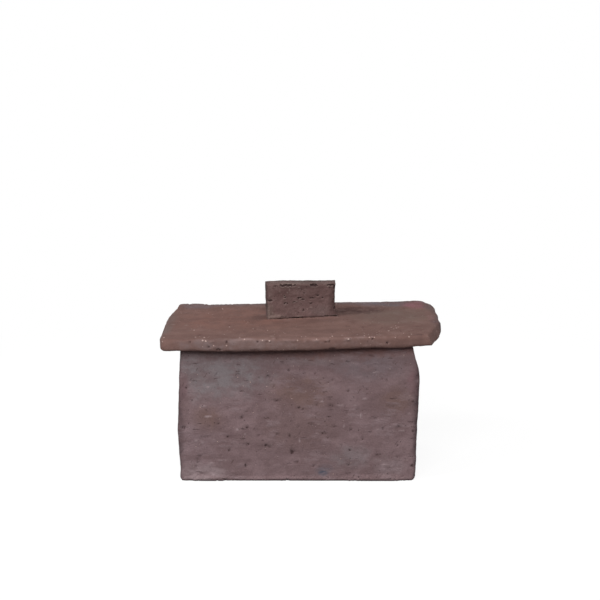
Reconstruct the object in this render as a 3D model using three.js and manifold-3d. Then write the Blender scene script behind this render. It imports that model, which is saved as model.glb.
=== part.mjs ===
// Hand-built storage box in unglazed red clay with coarse grog, and its loose slab lid.
//
// Four walls stand round a base slab, luted edge to edge with slip, and a soft coil of clay is
// pressed into every inner joint. A slab with a hand-cut outline lies on the rim as the lid. Battens
// under it drop inside the walls and keep it from sliding off, and the block on top is its knob.
//
// Millimetres, +Z up, X along the front, -Y to the front. The origin is on the ground under the
// middle of the lid, which is the widest part of the box.
import * as THREE from "three";
import { mergeVertices } from "three/addons/utils/BufferGeometryUtils.js";
import Module from "manifold-3d";

// Body
const bodyWidth = 242; // at the foot, outside
const bodyDepth = 146; // outside
const rimHeight = 142.6; // above the origin
const rimClimb = 0.016; // how much the rim rises for each millimetre towards +X
const wallThickness = 13;
const baseThickness = 13;
const cornerRound = 4.5; // corners of a wall's outline, at the foot and at the rim
const edgeRound = 3.5; // worn edge of the front and back walls' outer faces
const slip = 0.3; // layer of slip that lutes two pieces together
const roundLimit = 0.8; // of what a rounding is cut from, so that it never cuts right through
const roundSteps = 4; // facets of each rounded corner or edge

// The walls aren't upright: each side swells a little and leans in at the rim.
const leftSwell = 2.2;
const leftSwellHeight = 54;
const leftLean = 1.4;
const rightSwell = 3.3;
const rightSwellBelowRim = 40;
const rightLean = 4.2;

// Coils pressed into the inner joints
const coilLeg = 9; // along each of the two slabs it joins
const coilTip = 1; // thickness where a coil feathers out
const coilBelowBattens = 6;

// Lid
const lidThickness = 12.5;
const lidRound = 3.5;
const overhangLeft = 21.5; // overhangs past the foot of the walls
const overhangRight = 31.2;
const overhangFront = 17;
const overhangBack = 17;
const cutInset = 9.2; // the slanted cut's middle, from the right edge
const cutSetback = 40; // and from the front edge
const cutTurn = THREE.MathUtils.degToRad(19.3); // from the box's depth
const cutLean = THREE.MathUtils.degToRad(9); // inwards, towards the top
const lidSeat = 0.3; // the loose lid's clearance over the rim

// Battens under the lid
const battenHeight = 9;
const battenThickness = 10;
const battenRound = 3;
const battenClearance = 3; // to the walls, all round

// Knob
const knobWidth = 73;
const knobThickness = 24;
const knobHeight = 35.8; // at its right end
const knobRise = 1.4; // its top climbs this much towards its left end, against the lid's slope
const knobFlare = 3.5; // the foot spreads this much towards +X
const knobFlareHeight = 15;
const knobRound = 2.2;
const knobX = -2;
const knobY = 17;
const knobTurn = THREE.MathUtils.degToRad(8);

// The lid sets the middle of the box, and its overhangs place the body under it.
const lidRect = {
  left: -(overhangLeft + bodyWidth + overhangRight) / 2,
  right: (overhangLeft + bodyWidth + overhangRight) / 2,
  front: -(overhangFront + bodyDepth + overhangBack) / 2,
  back: (overhangFront + bodyDepth + overhangBack) / 2,
};
const bodyRect = inset(lidRect, overhangLeft, overhangRight, overhangFront, overhangBack);
const cavityRect = inset(bodyRect, wallThickness);
const battenRect = inset(cavityRect, battenClearance);
const rimTilt = Math.atan(rimClimb);

const bodyClay = new THREE.MeshStandardMaterial({ color: 0x705e5f, roughness: 0.92, metalness: 0 });
const lidClay = new THREE.MeshStandardMaterial({ color: 0x775c55, roughness: 0.9, metalness: 0 });
const knobClay = new THREE.MeshStandardMaterial({ color: 0x654f4c, roughness: 0.95, metalness: 0 });

const wasm = await Module();
wasm.setup();

function inset(rect, left, right = left, front = left, back = left) {
  return {
    left: rect.left + left,
    right: rect.right - right,
    front: rect.front + front,
    back: rect.back - back,
  };
}

function rimAt(x) {
  return rimHeight + rimClimb * x;
}

// The four sides of a rectangle as seen from inside it, anticlockwise from the front one: the corner
// where a side starts, the way it runs, the way to the middle, and its length.
function sidesOf(rect) {
  const corners = [
    [rect.left, rect.front],
    [rect.right, rect.front],
    [rect.right, rect.back],
    [rect.left, rect.back],
  ];
  return ["front", "right", "back", "left"].map((name, i) => {
    const turn = (i * Math.PI) / 2;
    const along = new THREE.Vector3(Math.round(Math.cos(turn)), Math.round(Math.sin(turn)), 0);
    const inward = new THREE.Vector3(-along.y, along.x, 0);
    const start = new THREE.Vector3(corners[i][0], corners[i][1], 0);
    const length = i % 2 ? rect.back - rect.front : rect.right - rect.left;
    return { name, start, along, inward, length };
  });
}

// A named mesh whose geometry's own axes point along the three given ones.
function place(name, geometry, material, position, xAxis, yAxis, zAxis) {
  const mesh = new THREE.Mesh(geometry, material);
  mesh.name = name;
  mesh.position.copy(position);
  mesh.setRotationFromMatrix(new THREE.Matrix4().makeBasis(xAxis, yAxis, zAxis));
  return mesh;
}

function solidOf(geometry) {
  const bare = geometry.clone();
  bare.deleteAttribute("normal");
  bare.deleteAttribute("uv");
  const merged = mergeVertices(bare);
  return new wasm.Manifold(
    new wasm.Mesh({
      numProp: 3,
      vertProperties: merged.getAttribute("position").array,
      triVerts: new Uint32Array(merged.index.array),
    }),
  );
}

function geometryOf(solid) {
  const mesh = solid.getMesh();
  const geometry = new THREE.BufferGeometry();
  geometry.setAttribute("position", new THREE.BufferAttribute(mesh.vertProperties, 3));
  geometry.setIndex(new THREE.BufferAttribute(mesh.triVerts, 1));
  geometry.computeVertexNormals();
  return geometry;
}

// A slab of the shape's outline whose far face, at local z = thickness, has a rounded edge. The near
// face is cut flat, because another slab is luted against it.
function slabRoundedOnOneFace(shape, thickness, round) {
  const bevel = Math.min(round, roundLimit * cornerRound, roundLimit * thickness);
  const bevelled = new THREE.ExtrudeGeometry(shape, {
    depth: thickness - bevel,
    bevelThickness: bevel,
    bevelSize: bevel,
    bevelOffset: -bevel,
    bevelSegments: roundSteps,
    curveSegments: roundSteps,
  });
  const reach = bodyWidth + rimHeight;
  const kept = new THREE.BoxGeometry(2 * reach, 2 * reach, 2 * thickness).translate(0, 0, thickness);
  return geometryOf(solidOf(bevelled).intersect(solidOf(kept)));
}

// The right side of the body's outline, from the foot up to the rim, in x and z.
function traceRightSide(shape) {
  const swell = new THREE.Vector2(
    bodyRect.right + rightSwell,
    rimAt(bodyRect.right) - rightSwellBelowRim,
  );
  const rimX = bodyRect.right - rightLean;
  shape.lineTo(bodyRect.right - cornerRound, 0);
  shape.quadraticCurveTo(bodyRect.right, 0, bodyRect.right, cornerRound);
  shape.splineThru([swell, new THREE.Vector2(rimX, rimAt(rimX) - cornerRound)]);
  shape.quadraticCurveTo(rimX, rimAt(rimX), rimX - cornerRound, rimAt(rimX - cornerRound));
}

// The left side of the same outline, from the rim down to the foot.
function traceLeftSide(shape) {
  const rimX = bodyRect.left + leftLean;
  shape.lineTo(rimX + cornerRound, rimAt(rimX + cornerRound));
  shape.quadraticCurveTo(rimX, rimAt(rimX), rimX, rimAt(rimX) - cornerRound);
  const swell = new THREE.Vector2(bodyRect.left - leftSwell, leftSwellHeight);
  shape.splineThru([swell, new THREE.Vector2(bodyRect.left, cornerRound)]);
  shape.quadraticCurveTo(bodyRect.left, 0, bodyRect.left + cornerRound, 0);
}

function bodyOutline() {
  const shape = new THREE.Shape();
  shape.moveTo(bodyRect.left + cornerRound, 0);
  traceRightSide(shape);
  traceLeftSide(shape);
  return shape;
}

function mirrored(shape) {
  const points = shape.extractPoints(roundSteps).shape;
  return new THREE.Shape(points.map((p) => new THREE.Vector2(-p.x, p.y)).reverse());
}

function frontAndBackWalls() {
  const along = new THREE.Vector3(1, 0, 0);
  const up = new THREE.Vector3(0, 0, 1);
  const out = new THREE.Vector3(0, -1, 0);
  const front = slabRoundedOnOneFace(bodyOutline(), wallThickness, edgeRound);
  const back = slabRoundedOnOneFace(mirrored(bodyOutline()), wallThickness, edgeRound);
  return [
    place("front_wall", front, bodyClay, new THREE.Vector3(0, cavityRect.front, 0), along, up, out),
    place(
      "back_wall",
      back,
      bodyClay,
      new THREE.Vector3(0, cavityRect.back, 0),
      along.clone().negate(),
      up,
      out.clone().negate(),
    ),
  ];
}

// The side walls fill the space between the front and the back wall.
function sideWalls() {
  const left = new THREE.Shape();
  left.moveTo(cavityRect.left, 0);
  left.lineTo(cavityRect.left, rimAt(cavityRect.left));
  traceLeftSide(left);
  const right = new THREE.Shape();
  right.moveTo(cavityRect.right, 0);
  traceRightSide(right);
  right.lineTo(cavityRect.right, rimAt(cavityRect.right));
  const depth = cavityRect.back - cavityRect.front - 2 * slip;
  return [
    ["left_wall", left],
    ["right_wall", right],
  ].map(([name, shape]) =>
    place(
      name,
      new THREE.ExtrudeGeometry(shape, { depth, bevelEnabled: false, curveSegments: roundSteps }),
      bodyClay,
      new THREE.Vector3(0, cavityRect.back - slip, 0),
      new THREE.Vector3(1, 0, 0),
      new THREE.Vector3(0, 0, 1),
      new THREE.Vector3(0, -1, 0),
    ),
  );
}

function baseSlab() {
  const rect = inset(cavityRect, slip);
  const base = new THREE.Mesh(
    new THREE.BoxGeometry(rect.right - rect.left, rect.back - rect.front, baseThickness),
    bodyClay,
  );
  base.name = "base_slab";
  base.position.set((rect.left + rect.right) / 2, (rect.front + rect.back) / 2, baseThickness / 2);
  return base;
}

// A coil smoothed into a corner with a finger, with its legs along +x and +y.
function coil(length) {
  const hollow = coilTip + (coilLeg - coilTip) / 4;
  const shape = new THREE.Shape();
  shape.moveTo(0, 0);
  shape.lineTo(coilLeg, 0);
  shape.lineTo(coilLeg, coilTip);
  shape.quadraticCurveTo(hollow, hollow, coilTip, coilLeg);
  shape.lineTo(0, coilLeg);
  return new THREE.ExtrudeGeometry(shape, {
    depth: length,
    bevelEnabled: false,
    curveSegments: roundSteps,
  });
}

// One upright coil in each corner, and one along each side of the base between them.
function coils() {
  const up = new THREE.Vector3(0, 0, 1);
  const floor = baseThickness + slip;
  const cornerNames = { front: "front_left", right: "front_right", back: "back_right", left: "back_left" };
  return sidesOf(inset(cavityRect, slip)).flatMap(({ name, start, along, inward, length }) => {
    const top = rimAt(start.x) - battenHeight - slip - coilBelowBattens;
    const foot = start.clone().setZ(floor);
    const setback = coilLeg + slip;
    return [
      place(
        "corner_coil_" + cornerNames[name],
        coil(top - floor),
        bodyClay,
        foot,
        along,
        inward,
        up,
      ),
      place(
        "base_coil_" + name,
        coil(length - 2 * setback),
        bodyClay,
        foot.clone().addScaledVector(along, setback),
        inward,
        up,
        along,
      ),
    ];
  });
}

// The lid's outline before its front right corner is cut off, anticlockwise from the left end of the
// front edge. It was cut freehand, so no side is quite straight.
function lidOutline() {
  const { left, right, front, back } = lidRect;
  const middle = (front + back) / 2;
  const cut = [
    [left + 27, front + 2.5],
    [left + 98, front],
    [right - 91, front + 2],
    [right - 50, front + 4],
    [right - 27.5, front + 6.5],
    [right - 16, front + 9],
    [right - 8, front + 18],
    [right - 3.5, front + 38],
    [right - 0.5, front + 62],
    [right, middle],
    [right - 2.5, back - 44],
    [right - 4.5, back - 27],
    [right - 6.5, back - 14],
    [right - 9, back - 4],
    [right - 15, back],
    [right - 60, back - 2],
    [right - 108, back - 1.5],
    [left + 102, back - 2],
    [left + 46, back - 1.5],
    [left + 13, back],
    [left + 7.5, back - 3],
    [left + 6.5, back - 13],
    [left + 5, back - 26],
    [left + 3, back - 48],
    [left + 1.3, middle],
    [left, front + 50],
    [left + 0.6, front + 30],
    [left + 3.8, front + 14],
    [left + 10.5, front + 5.5],
  ];
  const curve = new THREE.CatmullRomCurve3(
    cut.map(([x, y]) => new THREE.Vector3(x, y, 0)),
    true,
    "centripetal",
  );
  const points = curve.getPoints(4 * cut.length).slice(0, -1);
  return new THREE.Shape(points.map((p) => new THREE.Vector2(p.x, p.y)));
}

// What the long slanted cut takes off the lid's front right corner.
function cornerWaste() {
  const reach = 2 * Math.max(cutInset, cutSetback) + lidThickness;
  return new THREE.BoxGeometry(reach, 2 * reach, 2 * reach)
    .translate(reach / 2, 0, 0)
    .rotateY(-cutLean)
    .rotateZ(-cutTurn)
    .translate(lidRect.right - cutInset, lidRect.front + cutSetback, 0);
}

function lidSlab() {
  const round = Math.min(lidRound, (roundLimit / 2) * lidThickness);
  const geometry = new THREE.ExtrudeGeometry(lidOutline(), {
    depth: lidThickness - 2 * round,
    bevelThickness: round,
    bevelSize: round,
    bevelOffset: -round,
    bevelSegments: roundSteps,
  }).translate(0, 0, round);
  const cut = solidOf(geometry).subtract(solidOf(cornerWaste()));
  const slab = new THREE.Mesh(geometryOf(cut), lidClay);
  slab.name = "lid_slab";
  return slab;
}

// A batten hangs down from y = 0, and its two lower edges are rounded.
function battenSection() {
  const round = Math.min(battenRound, (roundLimit / 2) * battenThickness, roundLimit * battenHeight);
  const shape = new THREE.Shape();
  shape.moveTo(0, 0);
  shape.lineTo(0, round - battenHeight);
  shape.quadraticCurveTo(0, -battenHeight, round, -battenHeight);
  shape.lineTo(battenThickness - round, -battenHeight);
  shape.quadraticCurveTo(battenThickness, -battenHeight, battenThickness, round - battenHeight);
  shape.lineTo(battenThickness, 0);
  return shape;
}

// The front and back battens run the full length, and the side ones fill in between them.
function battens() {
  const up = new THREE.Vector3(0, 0, 1);
  return sidesOf(battenRect).map(({ name, start, along, inward, length }, i) => {
    const setback = i % 2 ? battenThickness + slip : 0;
    const geometry = new THREE.ExtrudeGeometry(battenSection(), {
      depth: length - 2 * setback,
      bevelEnabled: false,
      curveSegments: roundSteps,
    });
    const position = start.clone().addScaledVector(along, setback).setZ(-slip);
    return place("lid_batten_" + name, geometry, lidClay, position, inward, up, along);
  });
}

function knob() {
  const round = Math.min(knobRound, (roundLimit / 2) * knobThickness);
  const half = knobWidth / 2;
  const shape = new THREE.Shape();
  shape.moveTo(-half, 0);
  shape.lineTo(half + knobFlare, 0);
  shape.quadraticCurveTo(half, knobFlareHeight / 2, half, knobFlareHeight);
  shape.lineTo(half, knobHeight);
  shape.lineTo(-half, knobHeight + knobRise);
  const geometry = new THREE.ExtrudeGeometry(shape, {
    depth: knobThickness - 2 * round,
    bevelThickness: round,
    bevelSize: round,
    bevelOffset: -round,
    bevelSegments: roundSteps,
    curveSegments: roundSteps,
  }).translate(0, 0, round - knobThickness / 2);
  const block = new THREE.Mesh(geometry, knobClay);
  block.name = "lid_knob";
  block.rotation.x = Math.PI / 2;
  const turned = new THREE.Group();
  turned.position.set(knobX, knobY, lidThickness + slip);
  turned.rotation.z = knobTurn;
  turned.add(block);
  return turned;
}

const box = new THREE.Group();
box.add(baseSlab(), ...frontAndBackWalls(), ...sideWalls(), ...coils());

const lid = new THREE.Group();
lid.position.z = rimHeight + lidSeat;
lid.rotation.y = -rimTilt;
lid.add(lidSlab(), ...battens(), knob());

const storageBox = new THREE.Group();
storageBox.add(box, lid);

export default storageBox;
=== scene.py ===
"""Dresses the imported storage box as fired, unglazed clay with coarse grog.

Each slab, coil, batten and the knob starts as its own solid, gets the dents, nicks, pits and tool
marks of hand building, and is finished with clay materials. Everything is in metres, in the frame
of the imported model: X along the front, -Y towards the front, Z up. Places and sizes of marks are
written in millimetres.
"""

import math
import random

import bpy
import numpy as np
from mathutils import Matrix, Vector, noise


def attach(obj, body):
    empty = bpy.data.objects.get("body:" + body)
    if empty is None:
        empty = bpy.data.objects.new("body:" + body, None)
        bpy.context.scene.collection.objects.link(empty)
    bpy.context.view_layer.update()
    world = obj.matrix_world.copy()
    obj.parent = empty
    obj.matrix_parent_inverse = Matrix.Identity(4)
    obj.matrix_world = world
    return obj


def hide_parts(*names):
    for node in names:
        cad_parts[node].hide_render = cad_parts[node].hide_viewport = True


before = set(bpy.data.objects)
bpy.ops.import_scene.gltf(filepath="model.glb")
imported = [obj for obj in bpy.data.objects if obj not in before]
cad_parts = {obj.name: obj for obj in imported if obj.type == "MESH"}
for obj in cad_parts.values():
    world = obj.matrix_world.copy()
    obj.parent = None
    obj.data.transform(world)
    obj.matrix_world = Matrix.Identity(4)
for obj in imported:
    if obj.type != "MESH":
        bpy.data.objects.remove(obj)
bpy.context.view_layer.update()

MM = 0.001

# The camera of the photograph, fitted to the outlines of the lid and of the body
IMAGE_SIZE = 600
FOCAL_PIXELS = 1231
CAMERA_PLACE = Vector((-2.5, -1290, 429)) * MM
CAMERA_PITCH = math.radians(11.07)
SENSOR_WIDTH = 36

# Edge length of the faces of the finished clay
WALL_MESH = 1.0 * MM
LID_MESH = 1.1 * MM
KNOB_MESH = 0.45 * MM
INNER_MESH = 1.2 * MM


def extent(node_name):
    """The lowest and the highest corner of a node's solid, in whole millimetres."""
    corners = np.array(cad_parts[node_name].bound_box) / MM
    return corners.min(axis=0).round(), corners.max(axis=0).round()


# The side walls lean, the lip is rounded and the lid climbs to the right. Marks there are
# centred this far within the solid, in millimetres.
SIDE_LEAN, LIP_ROUNDING, LID_CLIMB = 2, 1, 2
LID_RISE = 0.016  # how much the lid's top climbs per millimetre to the right

# The faces that marks lie on, in millimetres
FRONT_FACE = extent("front_wall")[0][1]
BACK_FACE = extent("back_wall")[1][1]
LEFT_FACE = extent("left_wall")[0][0] + SIDE_LEAN
RIGHT_FACE = extent("right_wall")[1][0] - SIDE_LEAN
LIP_FACE = extent("lid_slab")[0][1] + LIP_ROUNDING
LID_TOP = extent("lid_slab")[1][2] - LID_CLIMB

# The knob is turned, so its front lies this far back at its middle and slants back to the right
KNOB_MIDDLE, KNOB_FRONT, KNOB_SLANT = -2, 4.9, 0.14


# Modelling


def only(*pieces):
    """Selects these objects alone and makes the first one active."""
    bpy.ops.object.select_all(action="DESELECT")
    for piece in pieces:
        piece.select_set(True)
    bpy.context.view_layer.objects.active = pieces[0]


def apply_modifier(piece, kind, **settings):
    """Adds a modifier of this kind, sets it up and applies it."""
    only(piece)
    modifier = piece.modifiers.new(kind.lower(), kind)
    for name, value in settings.items():
        setattr(modifier, name, value)
    bpy.ops.object.modifier_apply(modifier=modifier.name)


def closed_copy(node_name):
    """A closed copy of a node's solid, as a new object."""
    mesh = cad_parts[node_name].data.copy()
    piece = bpy.data.objects.new("clay_" + node_name, mesh)
    bpy.context.scene.collection.objects.link(piece)
    only(piece)
    bpy.ops.object.mode_set(mode="EDIT")
    bpy.ops.mesh.select_all(action="SELECT")
    bpy.ops.mesh.remove_doubles(threshold=0.01 * MM)
    bpy.ops.object.mode_set(mode="OBJECT")
    return piece


def refine(piece, size):
    """Meshes a piece evenly with faces of this size."""
    apply_modifier(piece, "REMESH", mode="VOXEL", voxel_size=size, use_smooth_shade=True)


def marker(name, place, scale=(1, 1, 1)):
    """An empty that a modifier measures from."""
    made = bpy.data.objects.new(name, None)
    made.location = place
    made.scale = scale
    bpy.context.scene.collection.objects.link(made)
    return made


def push(pieces, place, move, reach):
    """Moves the clay round one place, fading to nothing at reach, alike on all these pieces."""
    start = marker("push_from", Vector(place) * MM)
    end = marker("push_to", (Vector(place) + Vector(move)) * MM)
    bpy.context.view_layer.update()
    for piece in pieces:
        apply_modifier(
            piece,
            "WARP",
            object_from=start,
            object_to=end,
            falloff_type="SMOOTH",
            falloff_radius=reach * MM,
        )
    bpy.data.objects.remove(start)
    bpy.data.objects.remove(end)


def points_of(piece):
    """The places of a piece's points, in millimetres."""
    flat = np.empty(len(piece.data.vertices) * 3)
    piece.data.vertices.foreach_get("co", flat)
    return flat.reshape(-1, 3) / MM


def normals_of(piece):
    """The directions that the surface faces at a piece's points."""
    flat = np.empty(len(piece.data.vertices) * 3)
    piece.data.vertices.foreach_get("normal", flat)
    return flat.reshape(-1, 3)


def remember(piece, name, amounts):
    """Keeps an amount from 0 to 1 on each point, for the material. The largest one stays."""
    kept = piece.data.attributes.get(name)
    if kept is None:
        kept = piece.data.attributes.new(name, "FLOAT", "POINT")
    before = np.empty(len(amounts))
    kept.data.foreach_get("value", before)
    kept.data.foreach_set("value", np.clip(np.maximum(before, amounts), 0, 1))


def ragged_spots(piece, spots, ragged):
    """Depth at each point of spots with ragged rims. A spot is a place, a reach and a depth."""
    steepness = 1.8
    points = points_of(piece)
    depths = np.zeros(len(points))
    for place, reach, depth in spots:
        away = np.linalg.norm((points - place) / reach, axis=1)
        for i in np.nonzero(away < 1 + ragged)[0]:
            point = Vector(points[i])
            torn = noise.noise(point * 0.4) + 0.5 * noise.noise(point * 0.9)
            inside = 1 - away[i] + ragged * torn
            depths[i] = max(depths[i], depth * min(max(steepness * inside, 0), 1))
    return depths


def move_spots(piece, spots, way, direction, ragged):
    """Presses spots in, where way is -1, or raises them, where it is 1."""
    depths = ragged_spots(piece, spots, ragged)
    group = piece.vertex_groups.new(name="spots")
    for i in np.nonzero(depths)[0]:
        group.add([int(i)], depths[i] / depths.max(), "REPLACE")
    apply_modifier(
        piece,
        "DISPLACE",
        vertex_group="spots",
        strength=way * depths.max() * MM,
        mid_level=0,
        direction=direction,
    )
    piece.vertex_groups.clear()
    return depths


def press(piece, spots, direction="NORMAL", way=-1, ragged=0.5, dark_depth=0.8):
    """Presses ragged hollows in, with painted shade in them. The painted shade is darkest from
    this depth on.
    """
    depths = move_spots(piece, spots, way, direction, ragged)
    remember(piece, "hollow", depths / dark_depth)


def swell(piece, spots, direction="NORMAL", way=1, ragged=0.3, rubbed=0.0):
    """Raises soft lumps, which handling has rubbed pale by this much."""
    depths = move_spots(piece, spots, way, direction, ragged)
    if rubbed:
        remember(piece, "rubbed", rubbed * depths / depths.max())


def crumbled(spots, chance):
    """Each spot as a shallow hollow with a worn rim and a few deeper chips in it."""
    made = []
    for place, reach, depth in spots:
        made.append((place, [1.5 * part + 0.6 for part in reach], 0.22 * depth))
        made.append((place, reach, 0.5 * depth))
        for _ in range(4):
            aside = [at + chance.uniform(-0.6, 0.6) * part for at, part in zip(place, reach)]
            chip = [chance.uniform(0.25, 0.45) * part + 0.5 for part in reach]
            made.append((aside, chip, chance.uniform(0.7, 1.1) * depth))
    return made


def strewn(count, centre, half, thick, chance):
    """Pits of all sizes strewn over a rectangle, which is this thick across the wall."""
    made = []
    for _ in range(count):
        spot = [at + chance.uniform(-1, 1) * part for at, part in zip(centre, half)]
        wide, high = chance.uniform(1, 4), chance.uniform(0.9, 1.8)
        reach = [thick if part == 0 else wide for part in half[:2]] + [high]
        made.append((spot, reach, chance.uniform(0.7, 1.5)))
    return crumbled(made, chance)


def knob_front(x):
    """How far back the knob's front lies at x."""
    return KNOB_FRONT + KNOB_SLANT * (x - KNOB_MIDDLE)


def on_knob(x, z, wide, high, depth):
    """A spot on the knob's front."""
    return ((x, knob_front(x), z), (wide, 3.5, high), depth)


def soften(piece, spots, passes=12):
    """Wipes edges round."""
    depths = ragged_spots(piece, [(place, reach, 1) for place, reach in spots], 0.1)
    group = piece.vertex_groups.new(name="soft")
    for i in np.nonzero(depths)[0]:
        group.add([int(i)], depths[i], "REPLACE")
    apply_modifier(piece, "SMOOTH", factor=0.5, iterations=passes, vertex_group="soft")
    piece.vertex_groups.clear()


def find_wear(piece, flat=0.12, proud=0.5):
    """Keeps how far edges and lumps stand proud of the clay round them, as they rub pale."""
    eased = piece.copy()
    eased.data = piece.data.copy()
    bpy.context.scene.collection.objects.link(eased)
    apply_modifier(eased, "SMOOTH", factor=0.5, iterations=12)
    out = points_of(piece) - points_of(eased)
    bpy.data.objects.remove(eased)
    height = (out * normals_of(piece)).sum(axis=1)
    remember(piece, "rubbed", (height - flat) / proud)


def edge_at(piece, side, z):
    """How far a piece reaches to the left, -1, or to the right, 1, at this height."""
    points = points_of(piece)
    near = points[np.abs(points[:, 2] - z) < 1.5]
    return side * (side * near[:, 0]).max()


def texture(name, kind, size, **settings):
    """A procedural texture for moving clay, with features of this size in millimetres."""
    made = bpy.data.textures.new(name, kind)
    made.noise_scale = size * MM
    for key, value in settings.items():
        setattr(made, key, value)
    return made


def pit_texture(name, size, spread):
    """White spots of this spread at the middles of cells of this size."""
    made = texture(name, "VORONOI", size)
    made.use_color_ramp = True
    core, rim = made.color_ramp.elements
    core.position, core.color = 0.5 * spread, (1, 1, 1, 1)
    rim.position, rim.color = spread, (0, 0, 0, 1)
    return made


def displace(piece, made, depth, direction="NORMAL", along=None, middle=0.5, group=""):
    """Moves the surface by up to this many millimetres, where the texture is bright."""
    apply_modifier(
        piece,
        "DISPLACE",
        texture=made,
        strength=depth * MM,
        mid_level=middle,
        direction=direction,
        texture_coords="OBJECT" if along else "GLOBAL",
        texture_coords_object=along,
        vertex_group=group,
    )


def pit(piece, made, depth, along=None, darkness=0.6):
    """Sinks pits where the texture is bright, in some patches of the clay and not in others, and
    keeps painted shade for them by their depth.
    """
    before = points_of(piece)
    group = piece.vertex_groups.new(name="patches")
    for i, point in enumerate(before.tolist()):
        amount = 0.3 + 2.5 * noise.noise(Vector(point) / 14)
        if amount > 0:
            group.add([i], min(amount, 1), "REPLACE")
    displace(piece, made, -depth, along=along, middle=0, group="patches")
    piece.vertex_groups.clear()
    sunk = np.linalg.norm(points_of(piece) - before, axis=1)
    remember(piece, "hollow", darkness * sunk / depth)


# Textures of the clay's shape. The slow waves move neighbours alike, so joints stay closed.
waves_across = texture("waves_across", "CLOUDS", 58, noise_depth=1)
waves_deep = texture("waves_deep", "CLOUDS", 74, noise_depth=1)
waves_up = texture("waves_up", "CLOUDS", 66, noise_depth=1)
hand_relief = texture("hand_relief", "CLOUDS", 15, noise_depth=2)
lumpy_relief = texture("lumpy_relief", "CLOUDS", 7, noise_depth=2)
wiping = texture("wiping", "CLOUDS", 3.2, noise_depth=2)
torn_relief = texture("torn_relief", "CLOUDS", 4.5, noise_depth=4)
torn_holes = pit_texture("torn_holes", 6, 0.2)
grog_pits = pit_texture("grog_pits", 9.5, 0.14)
dragged_pits = pit_texture("dragged_pits", 8, 0.13)

# They draw a texture out along the slabs, as wiping does
along_walls = marker("along_walls", (0, 0, 0), (6, 6, 1))
along_lid = marker("along_lid", (0, 0, 0), (6, 1.5, 1))
dragged = marker("dragged", (0.013, 0.004, 0.002), (3, 3, 1))


def weather_wall(piece):
    """Waves, hand relief, wiping along the wall, and pits both round and dragged."""
    displace(piece, waves_across, 1.2, "X")
    displace(piece, waves_deep, 1.4, "Y")
    displace(piece, hand_relief, 0.9)
    displace(piece, lumpy_relief, 0.5)
    displace(piece, wiping, 0.2, along=along_walls)
    pit(piece, grog_pits, 0.9, darkness=0.45)
    pit(piece, dragged_pits, 0.8, along=dragged, darkness=0.4)


def weather_lid(piece):
    """Waves, hand relief, wiping from end to end, and round pits."""
    displace(piece, waves_up, 0.9, "Z")
    displace(piece, hand_relief, 0.6)
    displace(piece, lumpy_relief, 0.6)
    displace(piece, wiping, 0.25, along=along_lid)
    pit(piece, grog_pits, 0.9)


def weather_knob(piece):
    """The rough faces that a block keeps when it is cut and pulled off."""
    displace(piece, hand_relief, 0.7)
    displace(piece, torn_relief, 0.9)
    pit(piece, torn_holes, 0.7)


def rest_on_ground(piece):
    """Flattens the underside, and what hangs below the ground, onto the ground."""
    height = points_of(piece)[:, 2]
    near_ground = height < 1.6
    faces_down = normals_of(piece)[:, 2] < -0.8
    under = (height < 0) | (near_ground & faces_down)
    only(piece)
    bpy.ops.object.mode_set(mode="EDIT")
    bpy.ops.mesh.select_mode(type="VERT")
    bpy.ops.mesh.select_all(action="DESELECT")
    bpy.ops.object.mode_set(mode="OBJECT")
    piece.data.vertices.foreach_set("select", under)
    bpy.ops.object.mode_set(mode="EDIT")
    bpy.ops.transform.resize(value=(1, 1, 0), center_override=(0, 0, 0))
    bpy.ops.object.mode_set(mode="OBJECT")


def model_grain():
    """One crushed grain of fired clay, flat and angular, to be copied."""
    bpy.ops.object.select_all(action="DESELECT")
    bpy.ops.mesh.primitive_ico_sphere_add(subdivisions=1, radius=1)
    grain = bpy.context.view_layer.objects.active
    bpy.ops.object.mode_set(mode="EDIT")
    bpy.ops.transform.vertex_random(offset=0.22, seed=3)
    bpy.ops.transform.resize(value=(1, 0.8, 0.6))
    bpy.ops.object.mode_set(mode="OBJECT")
    return grain


def sow_grains(name, casts):
    """Beds copies of the grain in the clay. A cast is a piece, a start, a direction and a size."""
    sunk_share = 0.15
    grain = model_grain()
    chance = random.Random(11)
    copies = []
    for piece, start, direction, size in casts:
        hit, place, normal, _ = piece.ray_cast(Vector(start) * MM, Vector(direction))
        if not hit:
            continue
        mesh = grain.data.copy()
        turn = normal.to_track_quat("Z", "Y").to_matrix().to_4x4()
        turn = turn @ Matrix.Rotation(chance.uniform(0, math.tau), 4, "Z")
        seat = Matrix.Translation(place - normal * sunk_share * size * MM)
        mesh.transform(seat @ turn @ Matrix.Scale(size * MM, 4))
        copies.append(bpy.data.objects.new(name, mesh))
        bpy.context.scene.collection.objects.link(copies[-1])
    bpy.data.objects.remove(grain)
    only(*copies)
    bpy.ops.object.join()
    return bpy.context.view_layer.objects.active


# Materials


def clay(red, green, blue):
    """A colour of fired clay, from sRGB values out of 255."""
    return tuple(
        c / 12.92 if c <= 0.04045 else ((c + 0.055) / 1.055) ** 2.4
        for c in (red / 255, green / 255, blue / 255)
    ) + (1,)


def node(tree, kind, inputs=(), **settings):
    """Adds a node, with its settings, and with values or other nodes' outputs on its inputs."""
    made = tree.nodes.new(kind)
    made.location = (220 * (len(tree.nodes) % 12), -260 * (len(tree.nodes) // 12))
    for name, value in settings.items():
        setattr(made, name, value)
    for key, value in dict(inputs).items():
        if isinstance(value, bpy.types.NodeSocket):
            tree.links.new(value, made.inputs[key])
        else:
            made.inputs[key].default_value = value
    return made


def maths(tree, operation, *values):
    """One step of arithmetic on numbers."""
    return node(tree, "ShaderNodeMath", enumerate(values), operation=operation).outputs[0]


def vector_maths(tree, operation, *values):
    """One step of arithmetic on places or directions."""
    made = node(tree, "ShaderNodeVectorMath", enumerate(values), operation=operation)
    return made.outputs["Value" if operation == "LENGTH" else "Vector"]


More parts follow.
